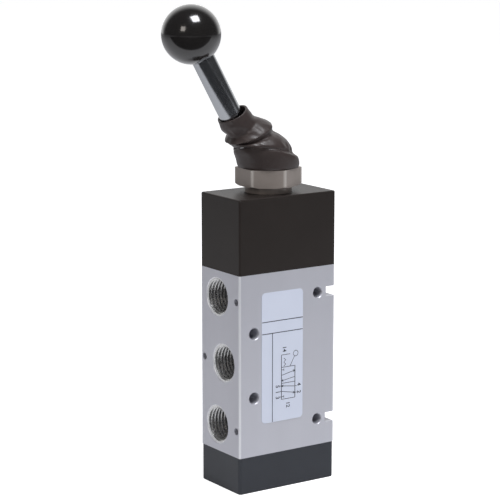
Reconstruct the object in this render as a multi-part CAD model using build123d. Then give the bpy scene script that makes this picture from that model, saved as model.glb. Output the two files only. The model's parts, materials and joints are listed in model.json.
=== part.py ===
from build123d import *
import os
from math import cos, radians, sin, sqrt, tan

# Hand lever air valve, 5/2, in-line spool, side ports. Millimetres, +Z up.
# Origin: middle of the end cap's underside, on the spool axis.
# X runs along the wide face, with ports 5, 1 and 3 on the -X side and 4 and 2 on the +X side.
# The lever rests tilted towards -X, which holds the spool up.

# Outer blocks
body_width = 40.0
body_depth = 24.0
body_height = 64.0
cap_height = 13.0
housing_height = 26.0
body_edge_chamfer = 0.35
cap_corner_r = 1.2
cap_edge_chamfer = 0.3
housing_corner_r = 0.6
housing_top_r = 0.5

# Ports and mounting holes
port_pitch = 22.7
port_thread_r = 6.58
port_rim_r = 6.9
port_depth = 10.5
port_offset = 2.0
gallery_r = 4.0
side_screw_r = 1.25
side_screw_depth = 5.5
side_screw_offset = 9.9
panel_hole_r = 2.0
panel_hole_x = -13.9
corner_hole_r = 1.85
corner_hole_x = 12.7
hole_chamfer = 0.25
groove_depth = 3.8
groove_height = 3.5
groove_lip_r = 0.6

# Seal stack
bore_r = 7.5
seal_thickness = 3.0
stack_clearance = 0.05
spacer_groove_depth = 1.0
spacer_groove_height = 5.4
spacer_window_width = 4.4
spacer_window_height = 4.2
spacer_bore_gap = 0.3
spacer_window_turns = (45, 135)

# Spool
spool_r = 4.5
waist_r = 2.75
waist_chamfer = 0.8
stroke = 4.4
land_overlap = 0.35
running_clearance = 0.05
spool_end_chamfer = 0.5
spool_tail = 0.8
cap_well_floor = 8.5
cap_well_gap = 0.1
cap_vent_r = 0.75
cap_vent_x = 2.5
guide_flange_r = 9.6
guide_flange_height = 1.5
yoke_stud_r = 2.0

# Lever
pivot_height = 0.0
lever_tilt = 29.4
pivot_ball_r = 5.5
stem_r = 2.5
stem_thread_length = 9.0
rod_r = 4.0
rod_start = 26.0
rod_chamfer = 0.4
knob_r = 10.0
knob_distance = 63.5
knob_flat_r = 4.6
knob_stud_r = 2.5
knob_stud_length = 7.5
finger_r = 2.0
cam_arm = 16.0
eye_r = 2.7
eye_half_width = 1.7
cam_pin_r = 1.5
hinge_pin_r = 1.0
hinge_pin_grip = 0.9

# Cam yoke on the spool's head
cam_clearance = 0.05
yoke_wall = 1.3
yoke_plate = 2.5
yoke_gap_clearance = 0.1
yoke_web = 2.2
yoke_web_gap = 0.35
yoke_corner_r = 1.5
yoke_swing_steps = 60
slot_edge_steps = 12

# Hex bushing and ball retainer
shank_wall = 1.0
shank_end = 0.1207
neck_shoulder = 0.2
neck_height = 2.3
hex_across_flats = 20.0
hex_height = 6.2
hex_turn = 26.0
hex_chamfer = 1.0
spigot_r = 9.4
spigot_wall = 0.6
spigot_height = 1.5
retainer_wall = 1.0
retainer_overlap = 1.2
retainer_height = 1.6
clip_height = 0.8
clip_groove_depth = 0.5
clip_wall = 1.0
clip_opening = 3.0

# Lever housing inside
pocket_clearance = 1.1
pocket_corner_r = 1.5
pocket_side_gap = 0.6
pocket_roof_gap = 0.2

# Tie screws
screw_x = 7.2
screw_y = 8.7
screw_r = 1.5
screw_hole_r = 1.6
screw_head_r = 2.75
screw_head_height = 3.0
screw_head_gap = 0.1
screw_head_recess = 0.4
screw_grip = 8.0
screw_blind_gap = 1.0
screw_fit = 0.03
screw_key_r = 1.25
screw_key_depth = 1.4

# Label
label_width = 17.2
label_height = 46.0
label_thickness = 0.15
label_x = -2.3
label_rise = 2.1
label_corner_r = 1.5

# Dust boot
boot_base_r = 10.75
boot_band_height = 3.3
boot_fold_r = 10.7
boot_neck_r = 8.0
boot_cuff_r = 5.8
boot_wall = 1.2
boot_cuff_bore_gap = 0.35
boot_cuff_length = 5.3
boot_seat_gap = 0.05
boot_neck_drop = 4.0
boot_neck_shift = 2.2
boot_fold_rise = 7.4
boot_fold_shift = -3.6
boot_fold_lean = 0.4

# Ball, retainer, clip and shank fit round each other
hinge_pin_reach = pivot_ball_r + hinge_pin_grip
retainer_r = pivot_ball_r + retainer_wall
retainer_lip_r = pivot_ball_r - retainer_overlap
retainer_drop = sqrt(pivot_ball_r ** 2 - retainer_lip_r ** 2) + running_clearance
clip_groove_r = retainer_r + clip_groove_depth
shank_r = clip_groove_r + shank_wall
shank_length = retainer_drop + retainer_height + clip_height + shank_end
neck_r = shank_r + neck_shoulder

# Levels and derived sizes
body_bottom = cap_height
body_top = body_bottom + body_height
body_middle = body_bottom + body_height / 2
housing_top = body_top + housing_height
pivot_z = housing_top + pivot_height
half_pitch = port_pitch / 2
seal_levels = [body_middle + port_pitch * step / 4 for step in (5, 3, 1, -1, -3, -5)]
window_levels = [body_middle + half_pitch * step for step in (2, 1, 0, -1, -2)]
window_height = half_pitch - seal_thickness
stack_top = seal_levels[0] + seal_thickness / 2
stack_bottom = seal_levels[-1] - seal_thickness / 2
cam_rate = stroke / (2 * radians(lever_tilt))
pin_swing = cam_arm * sin(radians(lever_tilt))
slot_r = cam_pin_r + cam_clearance
yoke_half_width = pin_swing + slot_r + yoke_wall
yoke_gap = finger_r + yoke_gap_clearance
yoke_half_depth = yoke_gap + yoke_plate
hex_bottom = housing_top + neck_height
hex_top = hex_bottom + hex_height
pocket_half_depth = max(yoke_half_depth, spool_r) + pocket_side_gap
pocket_top = housing_top - shank_length - pocket_roof_gap
spool_bottom = stack_bottom - spool_tail


def upright_box(width, depth, bottom, top):
    """A box centred on the spool axis between two levels."""
    middle = (bottom + top) / 2
    return Pos(0, 0, middle) * Box(width, depth, top - bottom)


def post(radius, bottom, top, x=0.0, y=0.0):
    """An upright cylinder between two levels."""
    return Pos(x, y, (bottom + top) / 2) * Cylinder(radius, top - bottom)


def bar_along_x(radius, start, end, y, z):
    """A cylinder lying along X."""
    return Pos((start + end) / 2, y, z) * Rot(0, 90, 0) * Cylinder(radius, abs(end - start))


def bar_along_y(radius, start, end, x, z):
    """A cylinder lying along Y."""
    return Pos(x, (start + end) / 2, z) * Rot(90, 0, 0) * Cylinder(radius, abs(end - start))


def turned(points):
    """A solid turned about the Z axis from a closed outline of (radius, height) points."""
    outline = make_face(Plane.XZ * Polyline(points, close=True))
    return revolve(outline, Axis.Z)


def tilted(shape):
    """Turns a lever piece, drawn upright, to the rest tilt about the pivot axis."""
    return Pos(0, 0, pivot_z) * Rot(0, -lever_tilt, 0) * Pos(0, 0, -pivot_z) * shape


def screw_places():
    return [(x, y) for x in (-screw_x, screw_x) for y in (-screw_y, screw_y)]


def cam_height(angle):
    """Height of the cam pin's centre in the yoke, when the finger stands at this angle."""
    return pivot_z - cam_arm * cos(angle) + cam_rate * (radians(lever_tilt) - angle)


def port_cut(side, y, z):
    """A port's threaded hole with a chamfered rim and the gallery to the bore."""
    face = side * body_width / 2
    inner = face - side * port_depth
    hole = bar_along_x(port_thread_r, face, inner, y, z)
    rim_depth = port_rim_r - port_thread_r
    rim = Pos(face - side * rim_depth / 2, y, z) * Rot(0, side * 90, 0)
    rim = rim * Cone(port_thread_r, port_rim_r, rim_depth)
    gallery = bar_along_x(gallery_r, inner, 0, y, z)
    return hole + rim + gallery


def panel_hole_cut(radius, x, z):
    """A through hole along Y, chamfered on both faces."""
    cut = bar_along_y(radius, -body_depth, body_depth, x, z)
    for side in (-1, 1):
        rim = Pos(x, side * (body_depth / 2 - hole_chamfer / 2), z) * Rot(-side * 90, 0, 0)
        cut += rim * Cone(radius, radius + hole_chamfer, hole_chamfer)
    return cut


def make_valve_body():
    body = upright_box(body_width, body_depth, body_bottom, body_top)
    body = chamfer(body.edges().filter_by(Axis.Z), body_edge_chamfer)
    body -= post(bore_r, body_bottom, body_top)
    for level, offset in ((2, port_offset), (0, -port_offset), (-2, port_offset)):
        z = body_middle + level * half_pitch
        body -= port_cut(-1, offset, z)
        screw_y_place = -side_screw_offset if offset > 0 else side_screw_offset
        start = -body_width / 2
        body -= bar_along_x(side_screw_r, start, start + side_screw_depth, screw_y_place, z)
    for level in (1, -1):
        z = body_middle + level * half_pitch
        body -= port_cut(1, 0, z)
        body -= panel_hole_cut(panel_hole_r, panel_hole_x, z)
    for level in (2, -2):
        z = body_middle + level * half_pitch
        body -= panel_hole_cut(corner_hole_r, corner_hole_x, z)
        groove_x = body_width / 2 - groove_depth / 2
        body -= Pos(groove_x, 0, z) * Box(groove_depth, body_depth, groove_height)
        lip = body.edges().filter_by(Axis.Y)
        lip = lip.filter_by_position(Axis.X, body_width / 2 - 0.01, body_width / 2 + 0.01)
        lip = lip.filter_by_position(Axis.Z, z + groove_height / 2 - 0.01, z + groove_height / 2 + 0.01)
        body = fillet(lip, groove_lip_r)
    for x, y in screw_places():
        body -= post(screw_hole_r, body_bottom, body_top, x, y)
    return body


def make_end_cap():
    cap = upright_box(body_width, body_depth, 0, cap_height)
    cap = fillet(cap.edges().filter_by(Axis.Z), cap_corner_r)
    cap = chamfer(cap.faces().sort_by(Axis.Z)[0].edges(), cap_edge_chamfer)
    cap += post(bore_r - stack_clearance, cap_height, stack_bottom - stack_clearance)
    cap -= post(spool_r + cap_well_gap, cap_well_floor, stack_bottom)
    cap -= post(cap_vent_r, 0, cap_well_floor, cap_vent_x)
    head_top = screw_head_recess + screw_head_height
    for x, y in screw_places():
        cap -= post(screw_hole_r, 0, cap_height, x, y)
        cap -= post(screw_head_r + screw_head_gap, 0, head_top, x, y)
    return cap


def make_lever_housing():
    housing = upright_box(body_width, body_depth, body_top, housing_top)
    housing = fillet(housing.edges().filter_by(Axis.Z), housing_corner_r)
    housing = fillet(housing.faces().sort_by(Axis.Z)[-1].edges(), housing_top_r)
    pocket = upright_box(
        2 * (yoke_half_width + pocket_clearance),
        2 * pocket_half_depth,
        body_top,
        pocket_top,
    )
    housing -= fillet(pocket.edges().filter_by(Axis.Z), pocket_corner_r)
    housing -= post(shank_r + screw_fit, pocket_top, housing_top)
    flange_r = guide_flange_r + stack_clearance
    housing -= post(flange_r, body_top, body_top + guide_flange_height)
    for x, y in screw_places():
        housing -= post(screw_r + screw_fit, body_top, body_top + screw_grip + screw_blind_gap, x, y)
    return housing


def make_spool_guide():
    guide = post(bore_r - stack_clearance, stack_top + stack_clearance, body_top)
    guide += post(guide_flange_r, body_top, body_top + guide_flange_height)
    return guide - post(spool_r + running_clearance, stack_top, body_top + guide_flange_height)


def make_seal(level):
    """A lip seal: square outside, with a chamfered lip each side of the spool land."""
    outer = bore_r - stack_clearance
    inner = spool_r + running_clearance
    half = seal_thickness / 2
    points = [
        (inner, level - half / 2),
        (inner + half / 2, level - half),
        (outer, level - half),
        (outer, level + half),
        (inner + half / 2, level + half),
        (inner, level + half / 2),
    ]
    return turned(points)


def make_spacer(level):
    """A cage between two seals: grooved outside, with windows through to the spool."""
    outer = bore_r - stack_clearance
    inner = spool_r + spacer_bore_gap
    half = window_height / 2
    spacer = post(outer, level - half, level + half)
    groove = post(outer, level - spacer_groove_height / 2, level + spacer_groove_height / 2)
    groove -= post(outer - spacer_groove_depth, level - half, level + half)
    spacer -= groove
    spacer -= post(inner, level - half, level + half)
    for turn in spacer_window_turns:
        spacer -= Rot(0, 0, turn) * Pos(0, 0, level) * Box(2 * bore_r, spacer_window_width, spacer_window_height)
    return spacer


def make_spool():
    """The spool at the top of its stroke: three waists join the ports between the seals."""
    half_seal = seal_thickness / 2
    middle_waist = (seal_levels[3] + half_seal + land_overlap, seal_levels[2] - half_seal - land_overlap + stroke)
    upper_waist = (seal_levels[1] + half_seal + land_overlap, seal_levels[0] - half_seal - land_overlap)
    lower_waist = (
        seal_levels[5] + half_seal + land_overlap + stroke,
        seal_levels[4] - half_seal - land_overlap + stroke,
    )
    head = cam_head_level()
    points = [(0, spool_bottom), (spool_r - spool_end_chamfer, spool_bottom)]
    points.append((spool_r, spool_bottom + spool_end_chamfer))
    for low, high in (lower_waist, middle_waist, upper_waist):
        points.append((spool_r, low))
        points.append((waist_r, low + waist_chamfer))
        points.append((waist_r, high - waist_chamfer))
        points.append((spool_r, high))
    points.append((spool_r, head))
    points.append((yoke_stud_r, head))
    points.append((yoke_stud_r, head + yoke_web))
    points.append((0, head + yoke_web))
    return turned(points)


def cam_web_top():
    """The highest level of the yoke's web that the lever's eye clears over the whole swing."""
    limit = pivot_z
    for index in range(yoke_swing_steps + 1):
        angle = radians(lever_tilt) * (2 * index / yoke_swing_steps - 1)
        limit = min(limit, cam_height(angle) - eye_r)
    return limit - yoke_web_gap


def cam_head_level():
    return cam_web_top() - yoke_web


def make_cam_yoke():
    """The fork on the spool's head, with the cam slot that the lever's pin runs in."""
    web_top = cam_web_top()
    bottom = cam_head_level()
    tilt = radians(lever_tilt)
    margin = slot_r + yoke_wall
    outline = Plane.XZ * Polyline(
        (-yoke_half_width, bottom),
        (yoke_half_width, bottom),
        (yoke_half_width, cam_height(tilt) + margin),
        (-yoke_half_width, cam_height(-tilt) + margin),
        close=True,
    )
    yoke = extrude(make_face(outline), yoke_half_depth, both=True)
    yoke = fillet(yoke.edges().filter_by(Axis.Y), yoke_corner_r)
    gap_height = pivot_z - web_top
    yoke -= Pos(0, 0, web_top + gap_height / 2) * Box(4 * yoke_half_width, 2 * yoke_gap, gap_height)
    yoke -= cam_slot_cut()
    return yoke - post(yoke_stud_r + screw_fit, bottom, web_top)


def cam_slot_edge(side):
    """One long edge of the cam slot, beside the track of the pin's centre."""
    points = []
    for index in range(slot_edge_steps + 1):
        angle = radians(lever_tilt) * (2 * index / slot_edge_steps - 1)
        run = cam_arm * cos(angle)
        rise = cam_arm * sin(angle) - cam_rate
        length = sqrt(run ** 2 + rise ** 2)
        x = cam_arm * sin(angle) - side * slot_r * rise / length
        z = cam_height(angle) + side * slot_r * run / length
        points.append((x, z))
    return Spline(points)


def cam_slot_cut():
    upper = cam_slot_edge(1)
    lower = cam_slot_edge(-1)
    tilt = radians(lever_tilt)
    ends = []
    for place, sign in ((0, -1), (1, 1)):
        angle = sign * tilt
        run = cam_arm * cos(angle)
        rise = cam_arm * sin(angle) - cam_rate
        length = sqrt(run ** 2 + rise ** 2)
        tip = (
            cam_arm * sin(angle) + sign * slot_r * run / length,
            cam_height(angle) + sign * slot_r * rise / length,
        )
        ends.append(ThreePointArc(upper @ place, tip, lower @ place))
    slot = make_face(Plane.XZ * Wire([upper, ends[1], lower, ends[0]]))
    return extrude(slot, 2 * yoke_half_depth, both=True)


def make_hex_bushing():
    """The bushing that holds the lever's ball from above and guides the stem in a gate."""
    corner_r = hex_across_flats / sqrt(3)
    head = Pos(0, 0, hex_bottom) * extrude(RegularPolygon(corner_r, 6, rotation=hex_turn), hex_height)
    trim = [
        (0, hex_bottom),
        (corner_r - hex_chamfer, hex_bottom),
        (corner_r + hex_chamfer, hex_bottom + 2 * hex_chamfer * tan(radians(30))),
        (corner_r + hex_chamfer, hex_top),
        (0, hex_top),
    ]
    bushing = head & turned(trim)
    bushing += post(neck_r, housing_top, hex_bottom)
    bushing += post(shank_r, housing_top - shank_length, housing_top)
    bushing += post(spigot_r, hex_top, hex_top + spigot_height)
    bushing -= post(spigot_r - spigot_wall, hex_top, hex_top + spigot_height)
    seat_r = pivot_ball_r + running_clearance
    bottom = housing_top - shank_length
    bushing -= Pos(0, 0, pivot_z) * Sphere(seat_r)
    bushing -= post(seat_r, bottom, pivot_z)
    bushing -= post(retainer_r, bottom, retainer_top())
    groove_bottom = retainer_top() - retainer_height - clip_height
    bushing -= post(clip_groove_r, groove_bottom, groove_bottom + clip_height)
    bushing -= gate_cut()
    groove_r = hinge_pin_r + running_clearance
    groove_reach = hinge_pin_reach + running_clearance
    bushing -= bar_along_y(groove_r, -groove_reach, groove_reach, 0, pivot_z)
    groove_height_below = pivot_z - bottom
    groove_box = Box(2 * groove_r, 2 * groove_reach, groove_height_below)
    bushing -= Pos(0, 0, pivot_z - groove_height_below / 2) * groove_box
    return bushing


def gate_cut():
    """The fan-shaped slot along X that the stem swings in, and stops against."""
    half_width = stem_r + running_clearance
    tilt = radians(lever_tilt)
    top = hex_top + spigot_height - pivot_z
    root = half_width / cos(tilt)
    reach = root + top * tan(tilt)
    fan = Plane.XZ * Polyline(
        (-root, pivot_z),
        (root, pivot_z),
        (reach, pivot_z + top),
        (-reach, pivot_z + top),
        close=True,
    )
    return extrude(make_face(fan), half_width, both=True)


def retainer_top():
    """The ring's upper edge just touches the ball where the ring's bore meets it."""
    return pivot_z - retainer_drop


def make_ball_retainer():
    top = retainer_top()
    bottom = top - retainer_height
    outer = retainer_r - running_clearance
    flare = (pivot_z - bottom) * tan(radians(lever_tilt)) + finger_r / cos(radians(lever_tilt))
    points = [(retainer_lip_r, top), (outer, top), (outer, bottom), (flare + running_clearance, bottom)]
    return turned(points)


def make_retaining_ring():
    top = retainer_top() - retainer_height
    bottom = top - clip_height
    outer = clip_groove_r - running_clearance
    ring = post(outer, bottom, top) - post(outer - clip_wall, bottom, top)
    gap = Pos(0, outer, (bottom + top) / 2) * Box(clip_opening, 2 * outer, clip_height)
    return ring - gap


def make_lever_stem():
    """Ball, stem above it and finger below it, turned in one piece, with an eye at the tip."""
    ball_low = pivot_z - sqrt(pivot_ball_r ** 2 - finger_r ** 2)
    ball_high = pivot_z + sqrt(pivot_ball_r ** 2 - stem_r ** 2)
    finger = Polyline((0, pivot_z - cam_arm), (finger_r, pivot_z - cam_arm), (finger_r, ball_low))
    ball = ThreePointArc((finger_r, ball_low), (pivot_ball_r, pivot_z), (stem_r, ball_high))
    top = pivot_z + rod_start + stem_thread_length
    shaft = Polyline((stem_r, ball_high), (stem_r, top), (0, top), (0, pivot_z - cam_arm))
    stem = revolve(make_face(Plane.XZ * Wire([*finger.edges(), ball, *shaft.edges()])), Axis.Z)
    stem += bar_along_y(eye_r, -eye_half_width, eye_half_width, 0, pivot_z - cam_arm)
    stem -= bar_along_y(cam_pin_r, -pivot_ball_r, pivot_ball_r, 0, pivot_z - cam_arm)
    stem -= bar_along_y(hinge_pin_r, -hinge_pin_reach, hinge_pin_reach, 0, pivot_z)
    return tilted(stem)


def make_hinge_pin():
    return tilted(bar_along_y(hinge_pin_r, -hinge_pin_reach, hinge_pin_reach, 0, pivot_z))


def make_cam_pin():
    reach = yoke_half_depth
    return tilted(bar_along_y(cam_pin_r, -reach, reach, 0, pivot_z - cam_arm))


def knob_flat_level():
    return pivot_z + knob_distance - sqrt(knob_r ** 2 - knob_flat_r ** 2)


def make_lever_rod():
    bottom = pivot_z + rod_start
    top = knob_flat_level()
    rod = post(rod_r, bottom, top)
    rod = chamfer(rod.edges(), rod_chamfer)
    rod += post(knob_stud_r, top, top + knob_stud_length)
    return tilted(rod - post(stem_r, bottom, bottom + stem_thread_length))


def make_ball_knob():
    flat = knob_flat_level()
    knob = Pos(0, 0, pivot_z + knob_distance) * Sphere(knob_r)
    knob -= post(knob_r, pivot_z, flat)
    knob -= post(knob_stud_r, flat, flat + knob_stud_length)
    return tilted(knob)


def boot_form(base, fold, neck, cuff):
    """A band, a leaning body lofted through a fold and a neck, and a cuff square to the rod."""
    band_top = hex_top + boot_band_height
    fold_place = Pos(boot_fold_shift, 0, hex_top + boot_fold_rise) * Rot(0, -boot_fold_lean * lever_tilt, 0)
    lean = Pos(0, 0, pivot_z) * Rot(0, -lever_tilt, 0)
    rings = [
        Pos(0, 0, band_top) * Circle(base),
        fold_place * Circle(fold),
        lean * Pos(boot_neck_shift, 0, rod_start - boot_neck_drop) * Circle(neck),
        lean * Pos(0, 0, rod_start) * Circle(cuff),
    ]
    form = post(base, hex_top, band_top) + loft(rings)
    return form + tilted(post(cuff, pivot_z + rod_start, pivot_z + rod_start + boot_cuff_length))


def make_dust_boot():
    """The moulded rubber boot: a band round the bushing's spigot, folds, and a cuff on the rod."""
    outer = boot_form(boot_base_r, boot_fold_r, boot_neck_r, boot_cuff_r)
    inner_base = spigot_r + boot_seat_gap
    inner = boot_form(inner_base, boot_fold_r - boot_wall, boot_neck_r - boot_wall, rod_r + boot_cuff_bore_gap)
    return outer - inner


def make_label():
    front = -body_depth / 2
    face = RectangleRounded(label_width, label_height, label_corner_r)
    plate = extrude(face, label_thickness)
    return Pos(label_x, front, body_middle + label_rise) * Rot(90, 0, 0) * plate


def make_tie_screws():
    """Four socket screws up through the cap and body into the lever housing."""
    screws = []
    head_bottom = screw_head_recess
    head_top = head_bottom + screw_head_height
    for x, y in screw_places():
        screw = post(screw_head_r, head_bottom, head_top, x, y)
        screw += post(screw_r, head_top, body_top + screw_grip, x, y)
        key = extrude(RegularPolygon(screw_key_r, 6, major_radius=False), screw_key_depth)
        screws.append(screw - Pos(x, y, head_bottom) * key)
    return Compound(children=screws)


pieces = {
    "valve_body": make_valve_body(),
    "end_cap": make_end_cap(),
    "lever_housing": make_lever_housing(),
    "spool_guide": make_spool_guide(),
    "spool": make_spool(),
    "cam_yoke": make_cam_yoke(),
    "hex_bushing": make_hex_bushing(),
    "ball_retainer": make_ball_retainer(),
    "retaining_ring": make_retaining_ring(),
    "lever_stem": make_lever_stem(),
    "hinge_pin": make_hinge_pin(),
    "cam_pin": make_cam_pin(),
    "lever_rod": make_lever_rod(),
    "ball_knob": make_ball_knob(),
    "dust_boot": make_dust_boot(),
    "label": make_label(),
    "tie_screws": make_tie_screws(),
}
for number, level in enumerate(seal_levels, start=1):
    pieces[f"seal_{number}"] = make_seal(level)
for number, level in enumerate(window_levels, start=1):
    pieces[f"spacer_{number}"] = make_spacer(level)

os.makedirs("parts", exist_ok=True)
for name, piece in pieces.items():
    export_step(piece, f"parts/{name}.step")
print("pivot height", pivot_z, "cam rate mm per rad", round(cam_rate, 5))
print("head level", round(cam_head_level(), 3), "web top", round(cam_web_top(), 3))
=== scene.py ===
import bpy
import bmesh
import json
import math
from mathutils import Matrix, Vector, noise


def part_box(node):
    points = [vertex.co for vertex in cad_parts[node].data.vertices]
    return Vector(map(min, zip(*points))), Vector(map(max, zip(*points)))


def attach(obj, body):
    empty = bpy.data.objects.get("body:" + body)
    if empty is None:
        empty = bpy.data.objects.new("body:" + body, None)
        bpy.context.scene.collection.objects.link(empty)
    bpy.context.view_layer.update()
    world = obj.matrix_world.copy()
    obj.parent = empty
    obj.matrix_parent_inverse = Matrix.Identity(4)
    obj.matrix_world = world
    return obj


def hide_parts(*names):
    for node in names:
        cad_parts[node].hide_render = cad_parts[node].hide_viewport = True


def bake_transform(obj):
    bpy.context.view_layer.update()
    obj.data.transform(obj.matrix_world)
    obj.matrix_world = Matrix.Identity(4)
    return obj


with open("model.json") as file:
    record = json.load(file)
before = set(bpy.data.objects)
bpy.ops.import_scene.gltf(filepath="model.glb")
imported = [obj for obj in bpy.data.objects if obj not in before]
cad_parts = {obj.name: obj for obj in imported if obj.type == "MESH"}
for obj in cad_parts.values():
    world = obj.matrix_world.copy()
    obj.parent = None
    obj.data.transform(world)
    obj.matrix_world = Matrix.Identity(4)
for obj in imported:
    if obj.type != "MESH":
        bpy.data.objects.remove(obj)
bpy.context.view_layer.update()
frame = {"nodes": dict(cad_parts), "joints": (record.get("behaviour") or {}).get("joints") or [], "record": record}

nodes = frame["nodes"]
mm = 0.001
tiny = 1e-7
bodyLow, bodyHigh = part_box("valve_body")
leverJoint = next(joint for joint in frame["joints"] if joint["name"] == "lever_tilt")
pivot = Vector(leverJoint["pos_m"])
leverTilt = math.radians(leverJoint["range_deg"][1] / 2)
leanOver = Matrix.Rotation(-leverTilt, 4, "Y")
hexTop = 111.5 * mm

# The middle of each port's mouth, on the body's side face
portMouths = {}
for mount in frame["record"]["mounts"]:
    if mount["name"].startswith("port_"):
        mouth = Vector(mount["pos_m"])
        mouth.x = bodyHigh.x if mount["axis"][0] > 0 else bodyLow.x
        portMouths[mount["name"]] = mouth
print("frame loaded")


def newPiece(bm, name, material, smooth=True):
    mesh = bpy.data.meshes.new(name)
    bm.to_mesh(mesh)
    bm.free()
    for face in mesh.polygons:
        face.use_smooth = smooth
    mesh.materials.append(material)
    piece = bpy.data.objects.new(name, mesh)
    bpy.context.scene.collection.objects.link(piece)
    return piece


def dress(nodeName, material):
    node = nodes[nodeName]
    node.data.materials.clear()
    node.data.materials.append(material)


# Materials. Each starts from one principled shader, with colour, roughness and bump from noise
grainSettings = dict(broadDetail=3, fineDetail=6, rampStart=0.3, rampEnd=0.7)


def startMaterial(name, settings):
    material = bpy.data.materials.new(name)
    material.use_nodes = True
    tree = material.node_tree
    shader = tree.nodes["Principled BSDF"]
    shader.inputs["Metallic"].default_value = settings.get("metallic", 0.0)
    shader.inputs["Specular IOR Level"].default_value = settings.get("specular", 0.5)
    shader.inputs["Coat Weight"].default_value = settings.get("coat", 0.0)
    shader.inputs["Coat Roughness"].default_value = settings.get("coatRoughness", 0.05)
    coords = tree.nodes.new("ShaderNodeTexCoord")
    return material, tree, shader, coords


# A value is a number, or another node's output
def addMath(tree, operation, *values):
    step = tree.nodes.new("ShaderNodeMath")
    step.operation = operation
    for place, value in enumerate(values):
        if isinstance(value, (int, float)):
            step.inputs[place].default_value = value
        else:
            tree.links.new(value, step.inputs[place])
    return step.outputs["Value"]


def mapRange(tree, source, start, end, low=0.0, high=1.0, curve="LINEAR"):
    ramp = tree.nodes.new("ShaderNodeMapRange")
    ramp.interpolation_type = curve
    ramp.inputs["From Min"].default_value = start
    ramp.inputs["From Max"].default_value = end
    ramp.inputs["To Min"].default_value = low
    ramp.inputs["To Max"].default_value = high
    tree.links.new(source, ramp.inputs["Value"])
    return ramp.outputs["Result"]


# A colour is three numbers, or another node's output
def mixColours(tree, factor, first, second):
    mix = tree.nodes.new("ShaderNodeMix")
    mix.data_type = "RGBA"
    for socket, colour in (("A", first), ("B", second)):
        if isinstance(colour, tuple):
            mix.inputs[socket].default_value = (*colour, 1)
        else:
            tree.links.new(colour, mix.inputs[socket])
    tree.links.new(factor, mix.inputs["Factor"])
    return mix.outputs["Result"]


def addNoise(tree, coords, scale, detail, stretch):
    mapping = tree.nodes.new("ShaderNodeMapping")
    mapping.inputs["Scale"].default_value = stretch
    tree.links.new(coords.outputs["Object"], mapping.inputs["Vector"])
    grain = tree.nodes.new("ShaderNodeTexNoise")
    grain.inputs["Scale"].default_value = scale
    grain.inputs["Detail"].default_value = detail
    tree.links.new(mapping.outputs["Vector"], grain.inputs["Vector"])
    return grain.outputs["Fac"]


def addBump(tree, shader, height, strength, distance):
    bump = tree.nodes.new("ShaderNodeBump")
    bump.inputs["Strength"].default_value = strength
    bump.inputs["Distance"].default_value = distance
    tree.links.new(height, bump.inputs["Height"])
    tree.links.new(bump.outputs["Normal"], shader.inputs["Normal"])


# Painted highlight: a lighter line along a piece's upright corners, where the chamfers catch the light, told from
# how far out a point is
def paintEdgeHighlight(tree, coords, colour, settings):
    split = tree.nodes.new("ShaderNodeSeparateXYZ")
    tree.links.new(coords.outputs["Object"], split.inputs["Vector"])
    x, y = split.outputs["X"], split.outputs["Y"]
    if settings["edgeShape"] == "corner":
        power = 1
        reach = addMath(tree, "ADD", addMath(tree, "ABSOLUTE", x), addMath(tree, "ABSOLUTE", y))
    else:
        power = 2
        reach = addMath(tree, "ADD", addMath(tree, "POWER", x, 2), addMath(tree, "POWER", y, 2))
    start, end = ((settings[key] * mm) ** power for key in ("edgeStart", "edgeFull"))
    return mixColours(tree, mapRange(tree, reach, start, end), colour, settings["edge"])


# Painted highlight on the port rims: a lighter tone, standing in for the lit chamfers, within a port's own radius
# of the middle of its mouth
def paintPortHighlight(tree, coords, colour, settings):
    distances = []
    for mouth in portMouths.values():
        away = tree.nodes.new("ShaderNodeVectorMath")
        away.operation = "DISTANCE"
        away.inputs[1].default_value = mouth
        tree.links.new(coords.outputs["Object"], away.inputs[0])
        distances.append(away.outputs["Value"])
    nearest = distances[0]
    for distance in distances[1:]:
        nearest = addMath(tree, "MINIMUM", nearest, distance)
    start = settings["portHighlightReach"] * mm
    end = (settings["portHighlightReach"] - settings["portHighlightFade"]) * mm
    return mixColours(tree, mapRange(tree, nearest, start, end), colour, settings["edge"])


def grainyMaterial(name, settings):
    material, tree, shader, coords = startMaterial(name, settings)
    grain = grainSettings
    stretch = settings.get("stretch", (1, 1, 1))
    broad = addNoise(tree, coords, settings["broadScale"], grain["broadDetail"], stretch)
    fine = addNoise(tree, coords, settings["fineScale"], grain["fineDetail"], stretch)
    colour = mixColours(tree, broad, settings["dark"], settings["light"])
    # Painted highlights: a lighter colour along the corners and round the port rims
    if "edge" in settings:
        colour = paintEdgeHighlight(tree, coords, colour, settings)
    # A painted highlight round the port rims, standing in for the lit chamfers
    if "portHighlightReach" in settings:
        colour = paintPortHighlight(tree, coords, colour, settings)
    tree.links.new(colour, shader.inputs["Base Color"])
    rough = mapRange(tree, fine, grain["rampStart"], grain["rampEnd"], *settings["roughness"])
    tree.links.new(rough, shader.inputs["Roughness"])
    addBump(tree, shader, fine, settings["bump"], settings["bumpDepth"] * mm)
    return material


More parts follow.
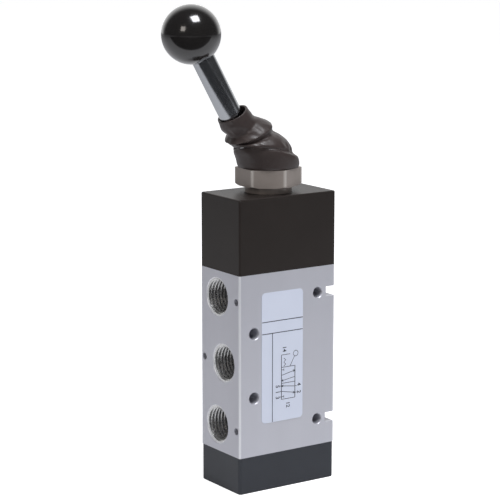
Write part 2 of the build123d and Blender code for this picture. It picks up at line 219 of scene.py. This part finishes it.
# Lengths here are in millimetres
materialSettings = {
    "anodisedAluminium": dict(
        metallic=0.4, dark=(0.50, 0.505, 0.55), light=(0.60, 0.605, 0.655),
        roughness=(0.36, 0.46), broadScale=60, fineScale=2600, stretch=(1, 1, 0.02),
        # The lighter colour here is a painted highlight along the body's corners and round its port rims
        bump=0.12, bumpDepth=0.02, edge=(0.80, 0.81, 0.84), edgeStart=31.25, edgeFull=31.6,
        edgeShape="corner", portHighlightReach=6.86, portHighlightFade=0.12),
    "cutThread": dict(
        metallic=0.82, dark=(0.60, 0.60, 0.60), light=(0.76, 0.76, 0.75),
        roughness=(0.2, 0.3), broadScale=300, fineScale=2600, bump=0.06, bumpDepth=0.01),
    "housingBlack": dict(
        specular=0.3, dark=(0.018, 0.014, 0.012), light=(0.025, 0.0195, 0.017),
        roughness=(0.36, 0.48), broadScale=70, fineScale=3500, bump=0.16, bumpDepth=0.015),
    "capGrey": dict(
        specular=0.45, dark=(0.021, 0.024, 0.031), light=(0.028, 0.032, 0.041),
        roughness=(0.38, 0.5), broadScale=80, fineScale=3000, bump=0.2, bumpDepth=0.02),
    "dullNickel": dict(
        metallic=0.35, dark=(0.27, 0.235, 0.21), light=(0.36, 0.315, 0.285),
        roughness=(0.30, 0.44), broadScale=120, fineScale=2500, bump=0.15, bumpDepth=0.015,
        # The lighter colour here is a painted highlight on the hex corners
        edge=(0.56, 0.52, 0.48), edgeStart=11.1, edgeFull=11.38, edgeShape="round"),
    "chromePlate": dict(
        metallic=1.0, dark=(0.39, 0.405, 0.425), light=(0.45, 0.465, 0.485),
        roughness=(0.16, 0.22), broadScale=60, fineScale=1800, bump=0.03, bumpDepth=0.01),
    "knobBlack": dict(
        specular=0.5, coat=0.85, coatRoughness=0.05, dark=(0.007, 0.0065, 0.006),
        light=(0.012, 0.0105, 0.01), roughness=(0.16, 0.22), broadScale=40, fineScale=1200,
        bump=0.02, bumpDepth=0.01),
    "bootRubber": dict(
        specular=0.5, dark=(0.033, 0.023, 0.021), light=(0.052, 0.039, 0.036),
        roughness=(0.34, 0.5), broadScale=160, fineScale=2600, bump=0.25, bumpDepth=0.05),
    "sealRubber": dict(
        specular=0.4, dark=(0.012, 0.012, 0.012), light=(0.02, 0.02, 0.02),
        roughness=(0.5, 0.6), broadScale=200, fineScale=3000, bump=0.1, bumpDepth=0.02),
    "machinedSteel": dict(
        metallic=1.0, dark=(0.42, 0.42, 0.42), light=(0.52, 0.52, 0.52),
        roughness=(0.25, 0.35), broadScale=120, fineScale=2400, bump=0.08, bumpDepth=0.01),
    "blackSteel": dict(
        metallic=0.6, dark=(0.03, 0.03, 0.03), light=(0.05, 0.05, 0.05),
        roughness=(0.35, 0.5), broadScale=200, fineScale=2400, bump=0.1, bumpDepth=0.01),
    "turnedBrass": dict(
        metallic=1.0, dark=(0.55, 0.42, 0.2), light=(0.66, 0.52, 0.27),
        roughness=(0.25, 0.35), broadScale=120, fineScale=2400, bump=0.08, bumpDepth=0.01),
    "labelFilm": dict(
        specular=0.5, coat=0.25, coatRoughness=0.2, dark=(0.62, 0.665, 0.78),
        light=(0.67, 0.715, 0.83), roughness=(0.34, 0.44), broadScale=90, fineScale=900,
        bump=0.05, bumpDepth=0.02),
    "labelInk": dict(
        specular=0.4, dark=(0.035, 0.038, 0.055), light=(0.055, 0.058, 0.08),
        roughness=(0.5, 0.6), broadScale=300, fineScale=2000, bump=0.02, bumpDepth=0.01),
}
finishes = {name: grainyMaterial(name, settings) for name, settings in materialSettings.items()}
print("materials made")


nodeFinishes = {
    "valve_body": "anodisedAluminium", "end_cap": "capGrey", "lever_housing": "housingBlack",
    "hex_bushing": "dullNickel", "lever_rod": "chromePlate", "ball_knob": "knobBlack",
    "dust_boot": "bootRubber", "label": "labelFilm", "tie_screws": "blackSteel",
    "spool": "machinedSteel", "cam_yoke": "machinedSteel", "lever_stem": "machinedSteel",
    "hinge_pin": "machinedSteel", "cam_pin": "machinedSteel", "retaining_ring": "machinedSteel",
    "ball_retainer": "turnedBrass", "spool_guide": "turnedBrass",
}
for nodeName in nodes:
    if nodeName.startswith("seal_"):
        nodeFinishes[nodeName] = "sealRubber"
    if nodeName.startswith("spacer_"):
        nodeFinishes[nodeName] = "turnedBrass"
for nodeName, finishName in nodeFinishes.items():
    dress(nodeName, finishes[finishName])


# Port threads: one V-shaped ridge wound round each port's wall, cut off flat inside the chamfer.
# The root and crest parts are half widths, as parts of half the pitch.
threadSettings = dict(
    rootRadius=6.62 * mm, crestRadius=5.78 * mm, pitch=1.337 * mm, rootPart=0.96, crestPart=0.12,
    turns=7.4, steps=40, start=-1.0 * mm, runOut=0.34 * mm, startTurn=-90)


def makeThread(name, mouth, inward):
    settings = threadSettings
    bm = bmesh.new()
    half = settings["pitch"] / 2
    root, crest = settings["rootPart"], settings["crestPart"]
    outline = [
        ("rootRadius", -root), ("crestRadius", -crest), ("crestRadius", crest),
        ("rootRadius", root)]
    profile = [bm.verts.new((settings[radius], 0, part * half)) for radius, part in outline]
    ridge = [bm.edges.new(pair) for pair in zip(profile, profile[1:] + profile[:1])]
    count = int(settings["steps"] * settings["turns"])
    bmesh.ops.spin(
        bm, geom=profile + ridge, cent=(0, 0, 0), axis=(0, 0, 1),
        dvec=(0, 0, settings["pitch"] / settings["steps"]),
        angle=math.tau * count / settings["steps"], steps=count,
        use_merge=False, use_duplicate=False)
    bmesh.ops.translate(bm, verts=bm.verts, vec=(0, 0, settings["start"] + half))
    bmesh.ops.bisect_plane(
        bm, geom=bm.verts[:] + bm.edges[:] + bm.faces[:], dist=tiny,
        plane_co=(0, 0, settings["runOut"]), plane_no=(0, 0, -1), clear_outer=True)
    bmesh.ops.holes_fill(bm, edges=[e for e in bm.edges if e.is_boundary], sides=0)
    bmesh.ops.recalc_face_normals(bm, faces=bm.faces)
    turn = Vector((0, 0, 1)).rotation_difference(inward).to_matrix().to_4x4()
    turn = turn @ Matrix.Rotation(math.radians(settings["startTurn"]), 4, "Z")
    bmesh.ops.transform(bm, matrix=Matrix.Translation(mouth) @ turn, verts=bm.verts)
    ridgePiece = newPiece(bm, name, finishes["cutThread"], smooth=False)
    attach(ridgePiece, "valve")


for portName, mouth in portMouths.items():
    makeThread("thread_" + portName, mouth, Vector((-1 if mouth.x > 0 else 1, 0, 0)))
print("port threads made")


# Knob: a turned ball with a small flat where the rod meets it
knobSettings = dict(radius=10 * mm, distance=63.5 * mm, flatRadius=4.6 * mm, segments=72, rings=40)


def makeKnob():
    settings = knobSettings
    radius = settings["radius"]
    bm = bmesh.new()
    start = math.asin(settings["flatRadius"] / radius)
    bmesh.ops.create_circle(bm, cap_ends=False, radius=radius, segments=4 * settings["rings"])
    bmesh.ops.rotate(
        bm, verts=bm.verts, cent=(0, 0, 0), matrix=Matrix.Rotation(math.pi / 2, 3, "X"))
    extra = [v for v in bm.verts if v.co.x < -tiny or v.co.z < -radius * math.cos(start)]
    bmesh.ops.delete(bm, geom=extra, context="VERTS")
    bmesh.ops.spin(
        bm, geom=bm.verts[:] + bm.edges[:], cent=(0, 0, 0), axis=(0, 0, 1), dvec=(0, 0, 0),
        angle=math.tau, steps=settings["segments"], use_merge=True, use_duplicate=False)
    bmesh.ops.remove_doubles(bm, verts=bm.verts, dist=tiny)
    bmesh.ops.holes_fill(bm, edges=bm.edges, sides=0)
    bmesh.ops.recalc_face_normals(bm, faces=bm.faces)
    place = Matrix.Translation(pivot) @ leanOver
    place = place @ Matrix.Translation((0, 0, settings["distance"]))
    bmesh.ops.transform(bm, matrix=place, verts=bm.verts)
    knob = newPiece(bm, "knobBall", finishes["knobBlack"])
    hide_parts("ball_knob")
    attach(knob, "lever")


makeKnob()


# Rod: a polished bar with a fine chamfer at each end. It starts and ends that far from the pivot
rodSettings = dict(
    radius=3.99 * mm, start=27.2 * mm, end=54.6 * mm, chamfer=0.4 * mm, segments=64,
    chamferSteps=3)


def makeRod():
    settings = rodSettings
    bm = bmesh.new()
    bmesh.ops.create_cone(
        bm, cap_ends=True, cap_tris=False, segments=settings["segments"],
        radius1=settings["radius"], radius2=settings["radius"],
        depth=settings["end"] - settings["start"])
    rims = [e for e in bm.edges if abs(e.verts[0].co.z - e.verts[1].co.z) < tiny]
    bmesh.ops.bevel(
        bm, geom=rims, offset=settings["chamfer"], affect="EDGES",
        segments=settings["chamferSteps"], profile=0.5, material=-1)
    middle = (settings["start"] + settings["end"]) / 2
    place = Matrix.Translation(pivot) @ leanOver @ Matrix.Translation((0, 0, middle))
    bmesh.ops.transform(bm, matrix=place, verts=bm.verts)
    rod = newPiece(bm, "chromeRod", finishes["chromePlate"])
    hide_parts("lever_rod")
    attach(rod, "lever")


makeRod()
print("lever made")


# Boot: rings placed up from the bushing to the rod, leaning as the folds do, then wrinkled
bootSettings = dict(
    segments=84,
    rows=80,
    wall=0.75 * mm,
    # x, height above the hex and radius in mm, lean towards the lever and rise at the front
    rings=[
        (0.0, 0.02, 10.3, 0, 0), (-0.1, 0.7, 10.75, -1, 0), (-0.3, 2.2, 11.0, -5, 2),
        (-0.8, 3.8, 11.15, -11, 7), (-1.1, 4.7, 10.9, -13, 8.3), (-1.6, 5.3, 10.1, -12, 8),
        (-2.3, 6.1, 9.95, -8, 6), (-3.2, 7.5, 10.05, -3, 3), (-4.6, 9.0, 9.75, 4, 1),
        (-6.0, 10.3, 8.7, 10, 0), (-6.6, 10.8, 7.6, 14, 0), (-7.2, 11.3, 7.6, 18, 0),
        (-8.0, 12.2, 8.35, 23, 0), (-8.5, 12.75, 8.1, 25, 0), (-9.2, 13.6, 7.2, 28, 0),
        (-10.1, 14.3, 6.2, 33, 0), (-11.0, 14.8, 5.6, 37, 0), (-12.2, 15.7, 5.6, 36, 0),
        (-13.2, 16.8, 5.75, 34, 0), (-14.2, 18.2, 5.6, 31, 0), (-14.85, 19.3, 5.5, 29.4, 0),
    ],
    # heights above the hex between which it wrinkles, and how far each end fades
    wrinkled=dict(low=2.5 * mm, lowFade=3 * mm, high=20 * mm, highFade=5 * mm),
    soft=dict(depth=0.32 * mm, scale=210, shift=(3.1, 0.4, 1.7)),
    crease=dict(
        depth=0.34 * mm, share=0.6, across=240, upward=460, slant=260, sharpness=2.6, floor=-0.4),
    # fine pleats round one turn of the skin, at one height
    pleat=dict(
        depth=0.32 * mm, count=17, twist=1.1, middle=0.1 * mm, turn=-0.95, spread=0.42,
        height=7.4 * mm, rise=2.2 * mm),
)


# A smooth curve through the rings, read at any place between two of them
def ringAt(rings, where):
    index = min(int(where), len(rings) - 2)
    part = where - index
    around = [rings[min(max(index + shift, 0), len(rings) - 1)] for shift in (-1, 0, 1, 2)]
    return [
        0.5 * (
            2 * b + (c - a) * part + (2 * a - 5 * b + 4 * c - d) * part ** 2
            + (3 * b - a - 3 * c + d) * part ** 3)
        for a, b, c, d in zip(*around)
    ]


def ringPlace(values):
    x, height, radius, lean, rise = values
    place = Matrix.Translation((x * mm, 0, hexTop + height * mm))
    place = place @ Matrix.Rotation(-math.radians(lean), 4, "Y")
    return place @ Matrix.Rotation(-math.radians(rise), 4, "X") @ Matrix.Scale(radius * mm, 4)


def wrinkleBoot(bm):
    settings = bootSettings
    wrinkled, soft = settings["wrinkled"], settings["soft"]
    crease, pleat = settings["crease"], settings["pleat"]
    bm.normal_update()
    moves = []
    for v in bm.verts:
        x, y, z = v.co
        height = z - hexTop
        amount = min(max((height - wrinkled["low"]) / wrinkled["lowFade"], 0), 1)
        amount *= min(max((wrinkled["high"] - height) / wrinkled["highFade"], 0), 1)
        wave = noise.noise(v.co * soft["scale"] + Vector(soft["shift"]))
        across, upward = crease["across"], crease["upward"]
        slanted = Vector((x * across, y * across, z * upward + x * crease["slant"]))
        sharp = 1 - crease["sharpness"] * abs(noise.noise(slanted))
        line = crease["depth"] * max(sharp, crease["floor"]) * crease["share"]
        push = amount * (soft["depth"] * wave + line)
        angle = math.atan2(y, x - pleat["middle"])
        area = math.exp(-((angle - pleat["turn"]) / pleat["spread"]) ** 2)
        area *= math.exp(-((height - pleat["height"]) / pleat["rise"]) ** 2)
        fold = math.sin(pleat["count"] * angle - height / mm * pleat["twist"]) * area
        moves.append((v, v.normal * (push + pleat["depth"] * fold)))
    for v, move in moves:
        v.co += move


def makeBoot():
    settings = bootSettings
    rings, rows = settings["rings"], settings["rows"]
    bm = bmesh.new()
    bmesh.ops.create_circle(bm, cap_ends=False, radius=1.0, segments=settings["segments"])
    ring, loop = bm.verts[:], bm.edges[:]
    lastPlace = Matrix.Identity(4)
    for row in range(rows + 1):
        if row:
            made = bmesh.ops.extrude_edge_only(bm, edges=loop)["geom"]
            ring = [g for g in made if isinstance(g, bmesh.types.BMVert)]
            edges = [g for g in made if isinstance(g, bmesh.types.BMEdge)]
            loop = [e for e in edges if e.verts[0] in ring and e.verts[1] in ring]
        place = ringPlace(ringAt(rings, row * (len(rings) - 1) / rows))
        bmesh.ops.transform(bm, matrix=place @ lastPlace.inverted(), verts=ring)
        lastPlace = place
    bmesh.ops.recalc_face_normals(bm, faces=bm.faces)
    wrinkleBoot(bm)
    boot = newPiece(bm, "rubberBoot", finishes["bootRubber"])
    thick = boot.modifiers.new("wall", "SOLIDIFY")
    thick.thickness = settings["wall"]
    thick.offset = -1
    soften = boot.modifiers.new("soften", "SUBSURF")
    soften.levels = 1
    soften.render_levels = 1
    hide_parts("dust_boot")
    return boot


boot = makeBoot()
print("boot made")


# Label print: ruled lines, the valve symbol and plain port numbers. Places on the label are in
# millimetres, across and down from its top left corner
labelLow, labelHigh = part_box("label")
labelSettings = dict(
    lift=0.02 * mm, line=0.28 * mm, thin=0.2 * mm, rules=(10.2, 14.4), column=4.4, margin=0.1,
    teeHalf=0.45, arrowLength=0.8, arrowHalf=0.35, ringSides=20)
symbolSettings = dict(
    left=8.2, right=13.9, top=27.0, square=5.7, portStub=0.8, supplyPitch=1.95, outletReach=1.15,
    teeReach=1.0, operator=4.4, leverFoot=3.6, leverHead=(5.5, 3.4), knob=(6.0, 4.3),
    knobRadius=1.0, notchNear=1.0, notchFar=1.8, notchStart=3.2, notchHalf=0.7, notchPitch=1.5)


def labelPoint(across, down):
    lift = labelSettings["lift"]
    return Vector((labelLow.x + across * mm, labelLow.y - lift, labelHigh.z - down * mm))


def addStroke(bm, start, end, width):
    a, b = labelPoint(*start), labelPoint(*end)
    run = b - a
    made = bmesh.ops.create_grid(bm, x_segments=1, y_segments=1, size=0.5)
    turn = Matrix.Rotation(math.pi / 2, 4, "X")
    angle = math.atan2(run.z, run.x)
    place = Matrix.Translation((a + b) / 2) @ Matrix.Rotation(-angle, 4, "Y") @ turn
    place = place @ Matrix.Diagonal((run.length, width, 1, 1))
    bmesh.ops.transform(bm, matrix=place, verts=made["verts"])


def addTee(bm, across, down, reach):
    thin, half = labelSettings["thin"], labelSettings["teeHalf"]
    addStroke(bm, (across, down), (across + reach, down), thin)
    addStroke(bm, (across + reach, down - half), (across + reach, down + half), thin)


def addArrow(bm, start, end):
    thin = labelSettings["thin"]
    addStroke(bm, start, end, thin)
    run = Vector((end[0] - start[0], end[1] - start[1])).normalized()
    for side in (-1, 1):
        spread = side * labelSettings["arrowHalf"] * Vector((-run.y, run.x))
        wing = Vector(end) - labelSettings["arrowLength"] * run + spread
        addStroke(bm, end, tuple(wing), thin)


def addRing(bm, centre, radius, width):
    sides = labelSettings["ringSides"]
    turns = [math.tau * k / sides for k in range(sides + 1)]
    points = [(centre[0] + radius * math.cos(t), centre[1] + radius * math.sin(t)) for t in turns]
    for start, end in zip(points, points[1:]):
        addStroke(bm, start, end, width)


# The two squares of a five-port, two-position valve, turned a quarter turn, with their ports
def addSquares(bm):
    line, thin = labelSettings["line"], labelSettings["thin"]
    settings = symbolSettings
    left, right, top, square = (settings[key] for key in ("left", "right", "top", "square"))
    supply, outlet = settings["supplyPitch"], settings["outletReach"]
    addStroke(bm, (left, top - settings["operator"]), (left, top + 2 * square), line)
    addStroke(bm, (right, top), (right, top + 2 * square), line)
    for step in range(3):
        addStroke(bm, (left, top + step * square), (right, top + step * square), thin)
    for step, sign in ((0.5, -1), (1.5, 1)):
        middle = top + step * square
        addArrow(bm, (left, middle), (right, middle + sign * outlet))
        addArrow(bm, (right, middle - sign * outlet), (left, middle - sign * supply))
        addTee(bm, left, middle + sign * supply, settings["teeReach"])
    lower = top + 1.5 * square
    stub = settings["portStub"]
    for shift in (-supply, 0, supply):
        addStroke(bm, (left - stub, lower + shift), (left, lower + shift), thin)
    for shift in (-outlet, outlet):
        addStroke(bm, (right, lower + shift), (right + stub, lower + shift), thin)


# The hand lever above the squares, and the notches of a detent
def addOperator(bm):
    thin = labelSettings["thin"]
    settings = symbolSettings
    left, top, foot = settings["left"], settings["top"], settings["leverFoot"]
    head, knob = settings["leverHead"], settings["knob"]
    outer = top - settings["operator"]
    addStroke(bm, (left, outer), (left + foot, outer), thin)
    addStroke(bm, (left + foot, top), (left + head[0], top - head[1]), thin)
    addRing(bm, (left + knob[0], top - knob[1]), settings["knobRadius"], thin)
    near, far = left + settings["notchNear"], left + settings["notchFar"]
    for step in range(2):
        start = top - settings["notchStart"] + step * settings["notchPitch"]
        tip = start + settings["notchHalf"]
        addStroke(bm, (near, start), (far, tip), thin)
        addStroke(bm, (far, tip), (near, tip + settings["notchHalf"]), thin)


def makeLabelPrint():
    settings = labelSettings
    line, margin, column = settings["line"], settings["margin"], settings["column"]
    width = (labelHigh.x - labelLow.x) / mm
    height = (labelHigh.z - labelLow.z) / mm
    bm = bmesh.new()
    for down in settings["rules"]:
        addStroke(bm, (margin, down), (width - margin, down), line)
    addStroke(bm, (column, settings["rules"][1]), (column, height - margin), line)
    addSquares(bm)
    addOperator(bm)
    bmesh.ops.recalc_face_normals(bm, faces=bm.faces)
    lines = newPiece(bm, "labelLines", finishes["labelInk"], smooth=False)
    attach(lines, "valve")


numberSettings = dict(
    size=2.1 * mm, thicken=0.04 * mm,
    places={
        "14": (9.4, 20.6), "12": (10.9, 40.6), "4": (15.6, 34.0), "2": (15.6, 36.7),
        "5": (6.5, 33.6), "1": (6.5, 35.6), "3": (6.5, 37.6)})


def makeNumber(text, place):
    curve = bpy.data.curves.new("numberCurve", "FONT")
    curve.body = text
    curve.size = numberSettings["size"]
    curve.offset = numberSettings["thicken"]
    curve.align_x = "CENTER"
    curve.align_y = "CENTER"
    holder = bpy.data.objects.new("numberHolder", curve)
    bpy.context.scene.collection.objects.link(holder)
    bpy.context.view_layer.update()
    mesh = bpy.data.meshes.new_from_object(holder)
    bpy.data.objects.remove(holder)
    turn = Matrix.Rotation(math.pi / 2, 4, "X") @ Matrix.Rotation(-math.pi / 2, 4, "Z")
    mesh.transform(Matrix.Translation(labelPoint(*place)) @ turn)
    mesh.materials.clear()
    mesh.materials.append(finishes["labelInk"])
    number = bpy.data.objects.new("number_" + text, mesh)
    bpy.context.scene.collection.objects.link(number)
    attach(number, "valve")


makeLabelPrint()
for text, place in numberSettings["places"].items():
    makeNumber(text, place)
print("label printed")


# Stage, lights and camera
cameraSettings = dict(
    lens=140.5, sensor=36, place=(-0.3784, -0.5484, 0.2096), yaw=34.064, pitch=10.825)


def plainPaint(name, colour, roughness):
    paint = bpy.data.materials.new(name)
    paint.use_nodes = True
    shader = paint.node_tree.nodes["Principled BSDF"]
    shader.inputs["Base Color"].default_value = (*colour, 1)
    shader.inputs["Roughness"].default_value = roughness
    return paint, shader


# A pale floor, with a glow that only the camera sees, so that it is white but keeps its shadow
floorSettings = dict(size=3.0, colour=(0.86, 0.86, 0.87), roughness=0.9, glow=0.75)


def makeFloor():
    settings = floorSettings
    bm = bmesh.new()
    bmesh.ops.create_grid(bm, x_segments=1, y_segments=1, size=settings["size"])
    paint, shader = plainPaint("paleFloor", settings["colour"], settings["roughness"])
    tree = paint.node_tree
    glow = tree.nodes.new("ShaderNodeEmission")
    ray = tree.nodes.new("ShaderNodeLightPath")
    lift = addMath(tree, "MULTIPLY", ray.outputs["Is Camera Ray"], settings["glow"])
    tree.links.new(lift, glow.inputs["Strength"])
    both = tree.nodes.new("ShaderNodeAddShader")
    tree.links.new(shader.outputs["BSDF"], both.inputs[0])
    tree.links.new(glow.outputs["Emission"], both.inputs[1])
    tree.links.new(both.outputs["Shader"], tree.nodes["Material Output"].inputs["Surface"])
    newPiece(bm, "floor", paint, smooth=False)


makeFloor()


# A dark card lying in front, which only shows where the knob and the rod reflect it
cardSettings = dict(
    width=3, length=1.2, gap=0.12, height=0.001, colour=(0.03, 0.03, 0.032), roughness=1.0)


def makeDarkCard():
    settings = cardSettings
    bm = bmesh.new()
    bmesh.ops.create_grid(bm, x_segments=1, y_segments=1, size=0.5)
    away = -settings["gap"] - settings["length"] / 2
    place = Matrix.Rotation(math.radians(-cameraSettings["yaw"]), 4, "Z")
    place = place @ Matrix.Translation((0, away, settings["height"]))
    place = place @ Matrix.Diagonal((settings["width"], settings["length"], 1, 1))
    bmesh.ops.transform(bm, matrix=place, verts=bm.verts)
    felt, _ = plainPaint("darkFelt", settings["colour"], settings["roughness"])
    card = newPiece(bm, "darkCard", felt, smooth=False)
    card.visible_camera = False
    card.visible_diffuse = False
    card.visible_shadow = False


makeDarkCard()


# The room: white to the camera, white behind the object to reflections, and dim elsewhere
worldSettings = dict(
    backdropTowards=(0.56, 0.83, 0.15), backdropStart=0.45, backdropFull=0.85,
    room=(0.97, 0.97, 1.0), dim=0.08, fill=0.26)


def makeWorld():
    settings = worldSettings
    world = bpy.data.worlds.new("studio")
    bpy.context.scene.world = world
    world.use_nodes = True
    tree = world.node_tree
    room = tree.nodes["Background"]
    room.inputs["Color"].default_value = (*settings["room"], 1)
    ray = tree.nodes.new("ShaderNodeLightPath")
    coords = tree.nodes.new("ShaderNodeTexCoord")
    facing = tree.nodes.new("ShaderNodeVectorMath")
    facing.operation = "DOT_PRODUCT"
    facing.inputs[1].default_value = Vector(settings["backdropTowards"]).normalized()
    tree.links.new(coords.outputs["Generated"], facing.inputs[0])
    backdrop = mapRange(
        tree, facing.outputs["Value"], settings["backdropStart"], settings["backdropFull"],
        curve="SMOOTHSTEP")
    clear = addMath(
        tree, "MAXIMUM", ray.outputs["Is Glossy Ray"], ray.outputs["Is Transmission Ray"])
    mirrored = addMath(tree, "MULTIPLY", clear, backdrop)
    seen = addMath(tree, "MAXIMUM", ray.outputs["Is Camera Ray"], mirrored)
    level = mapRange(tree, clear, 0, 1, settings["fill"], settings["dim"])
    tree.links.new(level, room.inputs["Strength"])
    white = tree.nodes.new("ShaderNodeBackground")
    white.inputs["Color"].default_value = (1, 1, 1, 1)
    choose = tree.nodes.new("ShaderNodeMixShader")
    tree.links.new(seen, choose.inputs["Fac"])
    tree.links.new(room.outputs["Background"], choose.inputs[1])
    tree.links.new(white.outputs["Background"], choose.inputs[2])
    tree.links.new(choose.outputs["Shader"], tree.nodes["World Output"].inputs["Surface"])


makeWorld()

# A key lamp overhead in front, and a weak, warmer one from the side with three ports
lampSettings = {
    "keyLamp": dict(place=(-0.03, -0.48, 1.15), size=0.48, power=12.4, tint=(0.95, 0.965, 1.0)),
    "sideLamp": dict(place=(-0.95, -0.42, 0.60), size=0.32, power=1.3, tint=(1.0, 0.93, 0.87)),
}
lampAim = Vector((0, 0, 0.08))
for name, settings in lampSettings.items():
    lamp = bpy.data.lights.new(name, "AREA")
    lamp.shape = "SQUARE"
    lamp.size = settings["size"]
    lamp.energy = settings["power"]
    lamp.color = settings["tint"]
    holder = bpy.data.objects.new(name, lamp)
    bpy.context.scene.collection.objects.link(holder)
    holder.location = settings["place"]
    holder.rotation_euler = (lampAim - holder.location).to_track_quat("-Z", "Y").to_euler()

camera = bpy.data.cameras.new("camera")
camera.lens = cameraSettings["lens"]
camera.sensor_width = cameraSettings["sensor"]
cameraHolder = bpy.data.objects.new("camera", camera)
bpy.context.scene.collection.objects.link(cameraHolder)
cameraHolder.location = cameraSettings["place"]
cameraHolder.rotation_euler = (
    math.radians(90 - cameraSettings["pitch"]), 0, -math.radians(cameraSettings["yaw"]))
bpy.context.scene.camera = cameraHolder
bpy.context.scene.view_settings.view_transform = "Standard"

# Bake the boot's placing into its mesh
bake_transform(boot)

print("scene ready")
